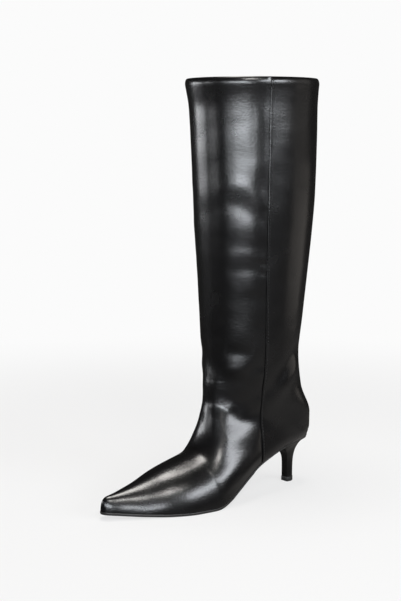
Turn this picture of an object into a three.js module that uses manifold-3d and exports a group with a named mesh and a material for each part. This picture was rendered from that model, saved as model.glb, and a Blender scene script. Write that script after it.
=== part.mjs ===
// Left knee-high boot: pointed toe, slim kitten heel, straight pull-on shaft, standing empty on its sole.
// Millimetres. +Z is up, the toe points to -Y and the outer side of the foot is +X.
// Inside the model "at" runs forward from the back of the heel to the tip of the toe.
import * as THREE from 'three';
import { mergeVertices } from 'three/addons/utils/BufferGeometryUtils.js';
import Module from 'manifold-3d';

const wasm = await Module();
wasm.setup();

// The last: foot sizes
const FOOT_LENGTH = 255;
const BALL_WIDTH = 77;
const INSTEP_HEIGHT = 100;
const HEEL_HEIGHT = 51.5;
const TOE_SPRING = 6;

// The leg: height above the seat, and depth and width at the ankle and at the collar
const SHAFT_HEIGHT = 372.5;
const ANKLE_DEPTH = 108.8;
const ANKLE_WIDTH = 89.6;
const COLLAR_DEPTH = 145.6;
const COLLAR_WIDTH = 118.4;
const COLLAR_DIP = 1.6;
const ANKLE_LEVEL = 1.015;

// Leather and its lap seam: the rear panel lies over the front one along both sides
const WALL = 1.8;
const SEAM_STEP = 0.7;
const SEAM_AT_SOLE = 0.312;
const SEAM_AT_COLLAR = 0.372;
const SEAM_BOW = 0.012;

// The collar's edge is turned in: thicker wall, rounded rim
const TURN_DEPTH = 9;
const TURN_EXTRA = 0.8;
const RIM_ROUND = 1.1;

// Sole, insole and heel
const FOREPART_SOLE = 2.4;
const SHANK_SOLE = 1.6;
const SOLE_STEP_AT = 0.355;
const SOLE_STEP_RUN = 0.006;
const SOLE_RIM = 0.4;
const SOLE_CHAMFER = 0.6;
const INSOLE = 2;
const INSOLE_GAP = 0.8;
const HEEL_BREAST_AT = 0.212;
const HEEL_POST_AT = 0.0733;
const HEEL_POST_BACK = 7;
const HEEL_POST_FRONT = 3.4;
const HEEL_POST_WIDTH = 9.8;
const HEEL_FACE_SHARE = 0.84;
const HEEL_FLARE = 3.6;
const BREAST_FLARE = 7;
const HEEL_INSET = 3.2;
const TOP_PIECE = 5;
const TOP_PIECE_RIM = 0.35;
const CLEARANCE = 0.3;

// Fineness of the model
const SECTIONS_PER_ROW = 2.4;
const COLUMNS_PER_SIDE = 19;
const STATIONS = 44;
const TOE_CAVITY_ROW = 2.1;
const INSOLE_ROW = 2.5;
const FINE_SECTIONS = 220;
const FINE_COLUMNS = 60;
const HEEL_ROW = 12;
const HEEL_ROW_REACH = 2;

// Underside of the last: height above the ball, as shares of the heel height and of the toe spring
const FEATHER = [
  { at: -0.06, heel: 1.07, spring: 0 },
  { at: 0.0, heel: 1.02, spring: 0 },
  { at: 0.1, heel: 0.935, spring: 0 },
  { at: 0.2, heel: 0.858, spring: 0 },
  { at: 0.3, heel: 0.69, spring: 0 },
  { at: 0.4, heel: 0.413, spring: 0 },
  { at: 0.5, heel: 0.112, spring: 0 },
  { at: 0.58, heel: 0.0, spring: 0 },
  { at: 0.66, heel: 0.0, spring: 0 },
  { at: 0.74, heel: 0.0, spring: 0.06 },
  { at: 0.86, heel: 0.0, spring: 0.36 },
  { at: 1.0, heel: 0.0, spring: 1.0 },
  { at: 1.06, heel: 0.0, spring: 1.3 },
];

// Sections of the foot, toe to ankle. Each is a closed oval between a front (top) point and a back (bottom)
// point. "at" is a share of the foot length, "up" a share of the instep height above the underside, "outer",
// "inner" and "centre" are shares of the ball width, "widest" is the share of the way down at which the oval
// is widest, and the two powers say how square its front and its back are.
const FOOT_COLUMNS = ['frontAt', 'frontUp', 'backAt', 'backUp', 'outer', 'inner', 'widest', 'frontPower',
  'backPower', 'centre'];
const FOOT = [
  [1.0, 0.055, 1.0, 0.05, 0.004, 0.004, 0.5, 2.0, 2.0, -0.083],
  [0.996, 0.1, 0.996, -0.12, 0.047, 0.047, 0.55, 2.0, 2.2, -0.083],
  [0.982, 0.14, 0.982, -0.12, 0.088, 0.088, 0.6, 2.0, 3.0, -0.083],
  [0.935, 0.182, 0.938, -0.12, 0.156, 0.156, 0.66, 2.0, 4.0, -0.073],
  [0.845, 0.274, 0.86, -0.12, 0.286, 0.28, 0.7, 1.9, 5.0, -0.047],
  [0.745, 0.39, 0.77, -0.12, 0.412, 0.414, 0.72, 1.9, 5.0, -0.016],
  [0.655, 0.463, 0.67, -0.12, 0.49, 0.5, 0.74, 1.9, 5.0, 0.008],
  [0.59, 0.52, 0.555, -0.12, 0.51, 0.475, 0.72, 2.0, 4.0, 0.018],
  [0.547, 0.66, 0.43, -0.12, 0.46, 0.43, 0.66, 2.0, 3.5, 0.018],
  [0.523, 0.835, 0.29, -0.12, 0.431, 0.416, 0.62, 2.0, 3.2, 0.01],
  [0.511, 0.966, 0.09, -0.12, 0.426, 0.416, 0.57, 2.0, 2.9, 0.0],
  [0.51, 1.093, -0.008, -0.092, 0.447, 0.436, 0.53, 2.0, 2.5, 0.0],
  [0.503, 1.217, -0.008, 0.192, 0.494, 0.483, 0.5, 2.0, 2.3, 0.0],
  [0.498, 1.346, 0.05, 0.553, 0.54, 0.53, 0.5, 2.0, 2.15, 0.0],
];

// Sections of the leg, ankle to collar. "up" is a share of the height between those two, "grow" a share of
// the way from the ankle's size to the collar's, "centre" a share of the foot length, and "tilt" the share of
// the ankle depth by which the front stands higher than the back.
const LEG_COLUMNS = ['up', 'grow', 'centre', 'tilt', 'backPower'];
const LEG = [
  [0.0, 0.0, 0.286, 0.187, 2.1],
  [0.117, 0.17, 0.278, 0.085, 2.0],
  [0.33, 0.45, 0.2695, 0.017, 2.0],
  [0.588, 0.757, 0.2645, 0.0, 2.0],
  [0.835, 0.93, 0.269, 0.0, 2.0],
  [1.0, 1.0, 0.2763, 0.0, 2.0],
];

function named(columns, values) {
  return Object.fromEntries(columns.map((name, i) => [name, values[i]]));
}

// Smooth curve through given values that never swings past them
function smoothCurve(xs, ys) {
  const last = xs.length - 1;
  const step = xs.slice(1).map((x, i) => x - xs[i]);
  const rise = step.map((h, i) => (ys[i + 1] - ys[i]) / h);
  const slope = ys.map((y, i) => {
    if (i === 0 || i === last) {
      const near = i === 0 ? 0 : last - 1;
      const far = i === 0 ? 1 : last - 2;
      const weighed = (2 * step[near] + step[far]) * rise[near] - step[near] * rise[far];
      const end = weighed / (step[near] + step[far]);
      if (end * rise[near] <= 0) return 0;
      const turns = rise[near] * rise[far] <= 0;
      return turns && Math.abs(end) > 3 * Math.abs(rise[near]) ? 3 * rise[near] : end;
    }
    if (rise[i - 1] * rise[i] <= 0) return 0;
    const before = 2 * step[i] + step[i - 1];
    const after = step[i] + 2 * step[i - 1];
    return (before + after) / (before / rise[i - 1] + after / rise[i]);
  });
  return (x) => {
    const inside = Math.min(Math.max(x, xs[0]), xs[last]);
    let i = 0;
    while (i < last - 1 && inside > xs[i + 1]) i += 1;
    const t = (inside - xs[i]) / step[i];
    const a = (1 + 2 * t) * (1 - t) ** 2 * ys[i] + t * (1 - t) ** 2 * step[i] * slope[i];
    return a + t * t * (3 - 2 * t) * ys[i + 1] + t * t * (t - 1) * step[i] * slope[i + 1];
  };
}

// Height of the upper's lower edge, the feather line, over the ground
const ballHeight = FOREPART_SOLE + CLEARANCE;
const featherHeight = smoothCurve(
  FEATHER.map((row) => row.at * FOOT_LENGTH),
  FEATHER.map((row) => ballHeight + row.heel * HEEL_HEIGHT + row.spring * TOE_SPRING),
);

const seatHeight = ballHeight + HEEL_HEIGHT;
const collarHeight = seatHeight + SHAFT_HEIGHT - RIM_ROUND;
const ankleHeight = seatHeight + ANKLE_LEVEL * INSTEP_HEIGHT;

function footSection(values) {
  const row = named(FOOT_COLUMNS, values);
  const frontAt = row.frontAt * FOOT_LENGTH;
  const backAt = row.backAt * FOOT_LENGTH;
  return {
    frontAt,
    frontUp: featherHeight(frontAt) + row.frontUp * INSTEP_HEIGHT,
    backAt,
    backUp: featherHeight(backAt) + row.backUp * INSTEP_HEIGHT,
    outer: row.outer * BALL_WIDTH,
    inner: row.inner * BALL_WIDTH,
    widest: row.widest,
    frontPower: row.frontPower,
    backPower: row.backPower,
    centre: row.centre * BALL_WIDTH,
  };
}

function legSection(values) {
  const row = named(LEG_COLUMNS, values);
  const depth = ANKLE_DEPTH + row.grow * (COLLAR_DEPTH - ANKLE_DEPTH);
  const width = ANKLE_WIDTH + row.grow * (COLLAR_WIDTH - ANKLE_WIDTH);
  const height = ankleHeight + row.up * (collarHeight - ankleHeight);
  const lift = (row.tilt * ANKLE_DEPTH - (row.up === 1 ? COLLAR_DIP : 0)) / 2;
  return {
    frontAt: row.centre * FOOT_LENGTH + depth / 2,
    frontUp: height + lift,
    backAt: row.centre * FOOT_LENGTH - depth / 2,
    backUp: height - lift,
    outer: width / 2,
    inner: width / 2,
    widest: 0.5,
    frontPower: 2,
    backPower: row.backPower,
    centre: 0,
  };
}

const sectionRows = [...FOOT.map(footSection), ...LEG.map(legSection)];
const lastRow = sectionRows.length - 1;
const sectionCurves = Object.fromEntries(Object.keys(sectionRows[0]).map((name) => [
  name,
  smoothCurve(sectionRows.map((row, i) => i), sectionRows.map((row) => row[name])),
]));

const knownSections = new Map();
function sectionAt(row) {
  if (!knownSections.has(row)) {
    const entries = Object.entries(sectionCurves).map(([name, curve]) => [name, curve(row)]);
    knownSections.set(row, Object.fromEntries(entries));
  }
  return knownSections.get(row);
}

// Point of the last's skin. "row" counts the sections, and "turn" goes round from the front (0) by the outer
// side to the back (1) and by the inner side to the front again (2).
function skinPoint(row, turn) {
  const s = sectionAt(row);
  const round = ((turn % 2) + 2) % 2;
  const side = round <= 1 ? 1 : -1;
  const share = round <= 1 ? round : 2 - round;
  const inFront = share < 0.5;
  const angle = Math.PI * (inFront ? share : share - 0.5);
  const power = 2 / (inFront ? s.frontPower : s.backPower);
  const wide = Math.max(inFront ? Math.sin(angle) : Math.cos(angle), 0) ** power;
  const deep = Math.max(inFront ? Math.cos(angle) : Math.sin(angle), 0) ** power;
  const along = inFront ? s.widest * (1 - deep) : s.widest + (1 - s.widest) * deep;
  return new THREE.Vector3(
    s.centre + side * wide * (side > 0 ? s.outer : s.inner),
    s.frontAt + (s.backAt - s.frontAt) * along,
    s.frontUp + (s.backUp - s.frontUp) * along,
  );
}

// The same skin moved out along its normal
const NORMAL_ROW_STEP = 0.04;
const NORMAL_TURN_STEP = 0.02;
function offsetPoint(row, turn, offset) {
  const point = skinPoint(row, turn);
  const before = skinPoint(Math.max(row - NORMAL_ROW_STEP, 0), turn);
  const along = skinPoint(Math.min(row + NORMAL_ROW_STEP, lastRow), turn).sub(before);
  const around = skinPoint(row, turn + NORMAL_TURN_STEP).sub(skinPoint(row, turn - NORMAL_TURN_STEP));
  const normal = new THREE.Vector3().crossVectors(along, around).normalize();
  return point.addScaledVector(normal, offset);
}

// Closed solid from rings of equal length; the first and last rings are closed by a fan
function ringSolid(rings) {
  const count = rings[0].length;
  const positions = rings.flat().flatMap((p) => [p.x, p.y, p.z]);
  const index = [];
  for (let i = 0; i + 1 < rings.length; i += 1) {
    for (let j = 0; j < count; j += 1) {
      const a = i * count + j;
      const b = i * count + ((j + 1) % count);
      index.push(a, b, b + count, a, b + count, a + count);
    }
  }
  const closeEnd = (ring, start, flip) => {
    const middle = ring.reduce((sum, p) => sum.add(p), new THREE.Vector3()).divideScalar(count);
    const centre = positions.length / 3;
    positions.push(middle.x, middle.y, middle.z);
    for (let j = 0; j < count; j += 1) {
      const a = start + j;
      const b = start + ((j + 1) % count);
      index.push(centre, flip ? b : a, flip ? a : b);
    }
  };
  closeEnd(rings[0], 0, true);
  closeEnd(rings[rings.length - 1], (rings.length - 1) * count, false);
  return solid(positions, index);
}

// Boolean solid with its faces turned outwards
function solid(positions, index) {
  const geometry = new THREE.BufferGeometry();
  geometry.setAttribute('position', new THREE.Float32BufferAttribute(positions, 3));
  geometry.setIndex(index);
  const merged = mergeVertices(geometry, 1e-4);
  const points = merged.attributes.position.array;
  const corners = merged.index.array;
  const kept = [];
  let volume = 0;
  for (let i = 0; i < corners.length; i += 3) {
    const [a, b, c] = [corners[i], corners[i + 1], corners[i + 2]];
    if (a === b || b === c || a === c) continue;
    kept.push(a, b, c);
    const [p, q, r] = [a, b, c].map((k) => new THREE.Vector3().fromArray(points, 3 * k));
    volume += p.dot(q.cross(r));
  }
  if (volume < 0) kept.reverse();
  const triVerts = new Uint32Array(kept);
  return new wasm.Manifold(new wasm.Mesh({ numProp: 3, vertProperties: points, triVerts }));
}

// Section numbers from one row of the table to the collar, with two close ones where the wall thickens
const legRise = (1 - LEG[LEG.length - 2][0]) * (collarHeight - ankleHeight);
const turnRow = lastRow - TURN_DEPTH / legRise;
const TURN_RUN = 0.04;
function sectionNumbers(firstRow) {
  const count = Math.round((lastRow - firstRow) * SECTIONS_PER_ROW);
  const even = Array.from({ length: count + 1 }, (unused, i) => (
    firstRow + ((lastRow - firstRow) * i) / count
  ));
  return [...even, turnRow - TURN_RUN, turnRow].sort((a, b) => a - b);
}

function skinRings(firstRow, offsetAt) {
  return sectionNumbers(firstRow).map((row) => Array.from({ length: 2 * COLUMNS_PER_SIDE }, (unused, j) => (
    offsetPoint(row, j / COLUMNS_PER_SIDE, offsetAt(row)))));
}

function shrunkRing(ring, inset, rise) {
  const middle = ring.reduce((sum, p) => sum.add(p), new THREE.Vector3()).divideScalar(ring.length);
  return ring.map((p) => {
    const inwards = new THREE.Vector3(middle.x - p.x, middle.y - p.y, 0).setLength(inset);
    return p.clone().add(inwards).add(new THREE.Vector3(0, 0, rise));
  });
}

// Outer skin, closed above by a rounded rim
function outerSkin(offset) {
  const rings = skinRings(0, () => offset);
  const top = rings[rings.length - 1];
  const shoulder = shrunkRing(top, 0.3 * RIM_ROUND, 0.7 * RIM_ROUND);
  return ringSolid([...rings, shoulder, shrunkRing(top, RIM_ROUND, RIM_ROUND)]);
}

// Hollow of the boot: the skin moved in by the wall, which is thicker where the collar is turned in
function innerSkin() {
  const rings = skinRings(TOE_CAVITY_ROW, (row) => -(WALL + (row >= turnRow ? TURN_EXTRA : 0)));
  return ringSolid([...rings, shrunkRing(rings[rings.length - 1], 0.01, 4 * RIM_ROUND)]);
}

// Block between two heights that follow the foot, wide enough to cut right across it
const BLOCK_HALF_WIDTH = Math.max(BALL_WIDTH, COLLAR_WIDTH);
const BLOCK_MARGIN = 0.05 * FOOT_LENGTH;
function blockRing(backAt, frontAt, height) {
  return [[-1, backAt], [1, backAt], [1, frontAt], [-1, frontAt]].map(([side, at]) => (
    new THREE.Vector3(side * BLOCK_HALF_WIDTH, at, height)));
}

function blockBelowFeather() {
  const ends = -HEEL_HEIGHT;
  const count = 3 * STATIONS;
  return ringSolid(Array.from({ length: count + 1 }, (unused, i) => {
    const at = -BLOCK_MARGIN + ((FOOT_LENGTH + 2 * BLOCK_MARGIN) * i) / count;
    return [[-1, ends], [1, ends], [1, featherHeight(at)], [-1, featherHeight(at)]].map(([side, height]) => (
      new THREE.Vector3(side * BLOCK_HALF_WIDTH, at, height)));
  }));
}

// Side seam: distance from the back of the heel at each height, bowed a little to the front
function seamAt(height) {
  const share = Math.min(Math.max(height / collarHeight, 0), 1);
  const straight = SEAM_AT_SOLE + (SEAM_AT_COLLAR - SEAM_AT_SOLE) * share;
  return (straight + SEAM_BOW * Math.sin(Math.PI * share)) * FOOT_LENGTH;
}

const SEAM_STATIONS = 16;
function blockBehindSeam() {
  return ringSolid(Array.from({ length: SEAM_STATIONS + 1 }, (unused, i) => {
    const height = -BLOCK_MARGIN + ((collarHeight + 2 * BLOCK_MARGIN) * i) / SEAM_STATIONS;
    return blockRing(-BLOCK_MARGIN, seamAt(height), height);
  }));
}

// Section number at which the middle of the back crosses the feather surface
function centreCrossing(low, high, offset) {
  let [from, to] = [low, high];
  const above = (row) => {
    const point = offsetPoint(row, 1, offset);
    return point.z > featherHeight(point.y);
  };
  const startsAbove = above(low);
  while (to - from > 1e-4) {
    const middle = (from + to) / 2;
    if (above(middle) === startsAbove) from = middle;
    else to = middle;
  }
  return offsetPoint(to, 1, offset);
}

// Line where one side of the skin, moved by an offset, crosses the feather surface, from toe to heel
function featherLine(side, offset, firstRow) {
  const rowStep = (HEEL_ROW - firstRow) / FINE_SECTIONS;
  const points = [];
  for (let i = 0; i <= FINE_SECTIONS; i += 1) {
    const row = firstRow + rowStep * i;
    let above = null;
    for (let j = 0; j <= FINE_COLUMNS; j += 1) {
      const point = offsetPoint(row, side * (j / FINE_COLUMNS), offset);
      const height = point.z - featherHeight(point.y);
      if (height < 0 && above) {
        points.push(above.point.lerp(point, above.height / (above.height - height)));
        break;
      }
      above = { point, height };
    }
  }
  const toe = firstRow === 0 ? [centreCrossing(0, 1, offset)] : [];
  return [...toe, ...points, centreCrossing(HEEL_ROW - HEEL_ROW_REACH, HEEL_ROW, offset)];
}

// Points spaced evenly along a line, starting and ending a little inside it
const END_SHARE = 0.003;
function evenly(points, count, endShare) {
  const lengths = [0];
  points.slice(1).forEach((p, i) => lengths.push(lengths[i] + p.distanceTo(points[i])));
  const total = lengths[lengths.length - 1];
  let i = 1;
  return Array.from({ length: count + 1 }, (unused, k) => {
    const goal = total * (endShare + ((1 - 2 * endShare) * k) / count);
    while (i < points.length - 1 && lengths[i] < goal) i += 1;
    const share = (goal - lengths[i - 1]) / (lengths[i] - lengths[i - 1]);
    return points[i - 1].clone().lerp(points[i], share);
  });
}

// Outline in plan, moved outwards by a distance: its outer and its inner side, each from toe to heel
function planOutline(offset, firstRow, move) {
  const outer = evenly(featherLine(1, offset, firstRow), STATIONS, END_SHARE);
  const inner = evenly(featherLine(-1, offset, firstRow), STATIONS, END_SHARE);
  const loop = [...outer, ...inner.reverse()];
  const moved = loop.map((p, i) => {
    const before = loop[(i + loop.length - 1) % loop.length];
    const after = loop[(i + 1) % loop.length];
    const along = new THREE.Vector2(after.x - before.x, after.y - before.y).normalize();
    return new THREE.Vector3(p.x - along.y * move, p.y + along.x * move, 0);
  });
  return { outer: moved.slice(0, STATIONS + 1), inner: moved.slice(STATIONS + 1).reverse() };
}

// Where a side of an outline passes a distance from the back of the heel
function pointAt(line, at) {
  const i = line.findIndex((p, k) => k > 0 && line[k - 1].y >= at && p.y < at);
  return line[i - 1].clone().lerp(line[i], (line[i - 1].y - at) / (line[i - 1].y - line[i].y));
}

function withStation(line, at) {
  const i = line.findIndex((p) => p.y < at);
  return [...line.slice(0, i), pointAt(line, at), ...line.slice(i)];
}

// Plate under the foot: rings across it from toe to heel, with a bevel along the lower edge
const ACROSS = 4;
function plate(outline, topAt, bottomAt, bevel) {
  const shares = Array.from({ length: ACROSS + 1 }, (unused, k) => k / ACROSS);
  return ringSolid(outline.outer.map((outerPoint, i) => {
    const innerPoint = outline.inner[i];
    const width = outerPoint.distanceTo(innerPoint);
    const inset = Math.min(bevel / width, 0.25);
    const place = (share, heightAt, rise) => {
      const p = innerPoint.clone().lerp(outerPoint, share);
      return new THREE.Vector3(p.x, p.y, heightAt(p.y) + rise);
    };
    const top = shares.map((share) => place(share, topAt, 0));
    const bottom = shares.map((share) => place(inset + share * (1 - 2 * inset), bottomAt, 0)).reverse();
    return [...top, place(1, bottomAt, bevel), ...bottom, place(0, bottomAt, bevel)];
  }));
}

// Underside of the sole: thinner behind the step under the arch
function soleBottom(at) {
  const ramp = Math.min(Math.max((at / FOOT_LENGTH - SOLE_STEP_AT) / SOLE_STEP_RUN, 0), 1);
  return featherHeight(at) - CLEARANCE - SHANK_SOLE - (FOREPART_SOLE - SHANK_SOLE) * ramp;
}

function outsoleSolid() {
  const outline = planOutline(0, 0, SOLE_RIM);
  const steps = [SOLE_STEP_AT, SOLE_STEP_AT + SOLE_STEP_RUN].map((share) => share * FOOT_LENGTH);
  const stepped = (line) => steps.reduce((kept, at) => withStation(kept, at), line);
  const shaped = { outer: stepped(outline.outer), inner: stepped(outline.inner) };
  return plate(shaped, (at) => featherHeight(at) - CLEARANCE, soleBottom, SOLE_CHAMFER);
}

function insoleSolid() {
  const outline = planOutline(-WALL, INSOLE_ROW, -INSOLE_GAP);
  return plate(outline, (at) => featherHeight(at) + INSOLE, featherHeight, SOLE_CHAMFER);
}

// Outline of the heel's foot: a flat face to the front, rounded behind
const HEEL_ROUND = 26;
const HEEL_FACE = 8;
function postOutline(rim) {
  const half = HEEL_POST_WIDTH / 2 + rim;
  const corner = Math.acos(HEEL_FACE_SHARE);
  const front = HEEL_POST_FRONT + rim;
  const back = HEEL_POST_BACK + rim;
  const middle = HEEL_POST_AT * FOOT_LENGTH;
  const round = Array.from({ length: HEEL_ROUND + 1 }, (unused, k) => {
    const angle = -corner + ((Math.PI + 2 * corner) * k) / HEEL_ROUND;
    const deep = Math.sin(angle) * (Math.sin(angle) > 0 ? back : front / Math.sin(corner));
    return new THREE.Vector3(half * Math.cos(angle), middle - deep, 0);
  });
  return closedWithFace(round);
}

// Adds the straight front face to a round outline that runs from its outer to its inner front corner
function closedWithFace(round) {
  const [start, end] = [round[0], round[round.length - 1]];
  const shares = Array.from({ length: HEEL_FACE - 1 }, (unused, k) => (k + 1) / HEEL_FACE);
  const face = shares.map((share) => end.clone().lerp(start, share));
  return [...round, ...face];
}

// Outline of the heel's seat, from the breast round the back of the sole
function seatOutline() {
  const outline = planOutline(0, 0, -HEEL_INSET);
  const breast = HEEL_BREAST_AT * FOOT_LENGTH;
  const behind = (line) => [pointAt(line, breast), ...line.filter((p) => p.y < breast)];
  const round = [...behind(outline.outer), ...behind(outline.inner).reverse()];
  return closedWithFace(evenly(round, HEEL_ROUND, 0));
}

const HEEL_LEVELS = [0, 0.2, 0.4, 0.55, 0.66, 0.75, 0.82, 0.88, 0.93, 0.97, 1];
const SEAT_RINGS = [0.75, 0.5, 0.25];
function heelSolid() {
  const post = postOutline(0);
  const seat = seatOutline();
  const bottom = TOP_PIECE + CLEARANCE;
  const seatUp = (at) => soleBottom(at) - CLEARANCE;
  const flareAt = (at) => THREE.MathUtils.mapLinear(
    Math.max(at / FOOT_LENGTH, HEEL_POST_AT), HEEL_POST_AT, HEEL_BREAST_AT, HEEL_FLARE, BREAST_FLARE,
  );
  const sides = HEEL_LEVELS.map((level) => post.map((p, i) => {
    const spread = p.clone().lerp(seat[i], level ** flareAt(seat[i].y));
    spread.z = bottom + (seatUp(seat[i].y) - bottom) * level;
    return spread;
  }));
  const middle = seat.reduce((sum, p) => sum.add(p), new THREE.Vector3()).divideScalar(seat.length);
  const top = SEAT_RINGS.map((share) => seat.map((p) => {
    const q = middle.clone().lerp(p, share);
    q.z = seatUp(q.y);
    return q;
  }));
  return ringSolid([...sides, ...top]);
}

function topPieceSolid() {
  const outline = postOutline(TOP_PIECE_RIM);
  return ringSolid([0, TOP_PIECE].map((height) => outline.map((p) => new THREE.Vector3(p.x, p.y, height))));
}

// Upper: one hollow leather skin, open at the collar and underneath, with a step at both side seams
function upperSolid() {
  const rearPanel = outerSkin(SEAM_STEP).intersect(blockBehindSeam());
  return outerSkin(0).add(rearPanel).subtract(innerSkin()).subtract(blockBelowFeather());
}

// Named mesh of a piece, with the toe turned to -Y
function piece(name, shape, look) {
  const { vertProperties, triVerts } = shape.getMesh();
  const geometry = new THREE.BufferGeometry();
  geometry.setAttribute('position', new THREE.Float32BufferAttribute(vertProperties, 3));
  geometry.scale(1, -1, 1);
  geometry.setIndex(Array.from(triVerts).reverse());
  geometry.computeVertexNormals();
  const mesh = new THREE.Mesh(geometry, new THREE.MeshStandardMaterial(look));
  mesh.name = name;
  return mesh;
}

const boot = new THREE.Group();
boot.add(
  piece('upper', upperSolid(), { color: 0x1b1b1e, roughness: 0.3, metalness: 0 }),
  piece('insole', insoleSolid(), { color: 0x26231f, roughness: 0.7, metalness: 0 }),
  piece('outsole', outsoleSolid(), { color: 0x121214, roughness: 0.5, metalness: 0 }),
  piece('heel', heelSolid(), { color: 0x18181a, roughness: 0.3, metalness: 0 }),
  piece('heel_top_piece', topPieceSolid(), { color: 0x0e0e10, roughness: 0.6, metalness: 0 }),
);

// The origin lies on the ground under the middle of the boot
const box = new THREE.Box3().setFromObject(boot);
const middle = box.getCenter(new THREE.Vector3());
boot.children.forEach((mesh) => mesh.geometry.translate(-middle.x, -middle.y, -box.min.z));

export default boot;
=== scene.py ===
# %% [markdown]
# # A knee-high boot in polished black leather
# The boot is a tall pull-on with a pointed toe, a slim kitten heel and one lapped seam down each side. Its
# solid parts come from the packed frame. This lesson dresses them: it lays fine leather panels over the
# same last, with the seams, creases, lining, sole and heel that a maker would see on the bench.

# %% The frame
import math
import bmesh
import bpy
import numpy as np
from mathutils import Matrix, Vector


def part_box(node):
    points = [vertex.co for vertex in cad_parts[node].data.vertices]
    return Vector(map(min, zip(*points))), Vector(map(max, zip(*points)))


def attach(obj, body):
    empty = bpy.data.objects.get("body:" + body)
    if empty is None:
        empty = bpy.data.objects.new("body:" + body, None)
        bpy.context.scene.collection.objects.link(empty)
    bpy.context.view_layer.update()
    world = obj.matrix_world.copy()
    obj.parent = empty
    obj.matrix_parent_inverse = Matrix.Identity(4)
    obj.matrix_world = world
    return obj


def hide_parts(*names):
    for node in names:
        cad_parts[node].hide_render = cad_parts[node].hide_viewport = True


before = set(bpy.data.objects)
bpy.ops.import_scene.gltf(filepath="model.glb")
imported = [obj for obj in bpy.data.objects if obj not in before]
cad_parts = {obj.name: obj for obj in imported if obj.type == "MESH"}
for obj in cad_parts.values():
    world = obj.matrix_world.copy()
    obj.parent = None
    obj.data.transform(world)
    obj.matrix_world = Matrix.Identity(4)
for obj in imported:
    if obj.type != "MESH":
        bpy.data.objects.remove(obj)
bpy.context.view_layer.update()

# %% [markdown]
# ## The last
# Shoes are built round a last, a smooth form of the foot. Its shape could be sculpted by hand, but a table
# of sections keeps every size in view: each row is one oval, from the tip of the toe round the heel and up
# the leg. Lengths are millimetres here, "at" runs forward from the back of the heel, and "up" from the
# ground.

# %% Sizes
FOOT_LENGTH, BALL_WIDTH, INSTEP_HEIGHT = 255.0, 77.0, 100.0
HEEL_HEIGHT, TOE_SPRING, SHAFT_HEIGHT = 51.5, 6.0, 372.5
ANKLE_DEPTH, ANKLE_WIDTH, COLLAR_DEPTH, COLLAR_WIDTH = 108.8, 89.6, 145.6, 118.4
COLLAR_DIP, ANKLE_LEVEL, RIM_ROUND, WALL = 1.6, 1.015, 1.1, 1.8
FOREPART_SOLE, SHANK_SOLE, CLEARANCE = 2.4, 1.6, 0.3
SOLE_STEP_AT, SOLE_STEP_RUN = 0.355, 0.006
BALL_UP = FOREPART_SOLE + CLEARANCE
SEAT_UP = BALL_UP + HEEL_HEIGHT
COLLAR_UP = SEAT_UP + SHAFT_HEIGHT - RIM_ROUND
ANKLE_UP = SEAT_UP + ANKLE_LEVEL * INSTEP_HEIGHT
print("seat", SEAT_UP, "collar", COLLAR_UP, "mm above the ground")

# %% [markdown]
# A smooth curve has to pass through every row without swinging past it, or the leather would ripple. A
# monotone cubic does that: where a value stops rising, the curve goes level.

# %% Smooth curves through a table
def smooth_curve(places, values):
    places, values = np.asarray(places, float), np.asarray(values, float)
    step = np.diff(places)
    rise = np.diff(values) / step
    slope = np.zeros_like(values)
    for i in range(1, len(places) - 1):
        if rise[i - 1] * rise[i] > 0:
            before, after = 2 * step[i] + step[i - 1], step[i] + 2 * step[i - 1]
            slope[i] = (before + after) / (before / rise[i - 1] + after / rise[i])
    for end, near, far in ((0, 0, 1), (-1, -1, -2)):
        both = step[near] + step[far]
        guess = ((2 * step[near] + step[far]) * rise[near] - step[near] * rise[far]) / both
        if guess * rise[near] <= 0:
            guess = 0.0
        elif rise[near] * rise[far] <= 0 and abs(guess) > 3 * abs(rise[near]):
            guess = 3 * rise[near]
        slope[end] = guess

    def curve(x):
        x = np.clip(x, places[0], places[-1])
        i = np.clip(np.searchsorted(places, x, side="right") - 1, 0, len(places) - 2)
        t = (x - places[i]) / step[i]
        start = (1 + 2 * t) * (1 - t) ** 2 * values[i] + t * (1 - t) ** 2 * step[i] * slope[i]
        return start + t * t * (3 - 2 * t) * values[i + 1] + t * t * (t - 1) * step[i] * slope[i + 1]
    return curve


print("a curve through 0, 1, 1 stays at", float(smooth_curve([0, 1, 2], [0, 1, 1])(1.5)), "there")

# %% [markdown]
# The feather line is where the upper meets the sole. Its height follows the arch: high at the seat, on the
# ground at the ball, and a little up again at the toe.

# %% The feather line
# share of the foot length, share of the heel height, share of the toe spring
FEATHER = [(-0.06, 1.07, 0), (0.0, 1.02, 0), (0.1, 0.935, 0), (0.2, 0.858, 0), (0.3, 0.69, 0),
           (0.4, 0.413, 0), (0.5, 0.112, 0), (0.58, 0, 0), (0.66, 0, 0), (0.74, 0, 0.06), (0.86, 0, 0.36),
           (1.0, 0, 1.0), (1.06, 0, 1.3)]
feather_up = smooth_curve([row[0] * FOOT_LENGTH for row in FEATHER],
                          [BALL_UP + row[1] * HEEL_HEIGHT + row[2] * TOE_SPRING for row in FEATHER])
print("feather line at seat, ball and toe:", feather_up(np.array([10.0, 160.0, 250.0])).round(1))

# %% [markdown]
# The last is a fan of ovals: the first stand at the toe, the next swing round the ankle, and the last lie
# level at the collar. Their numbers are shares of the sizes above, so the form follows when a size changes.

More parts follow.
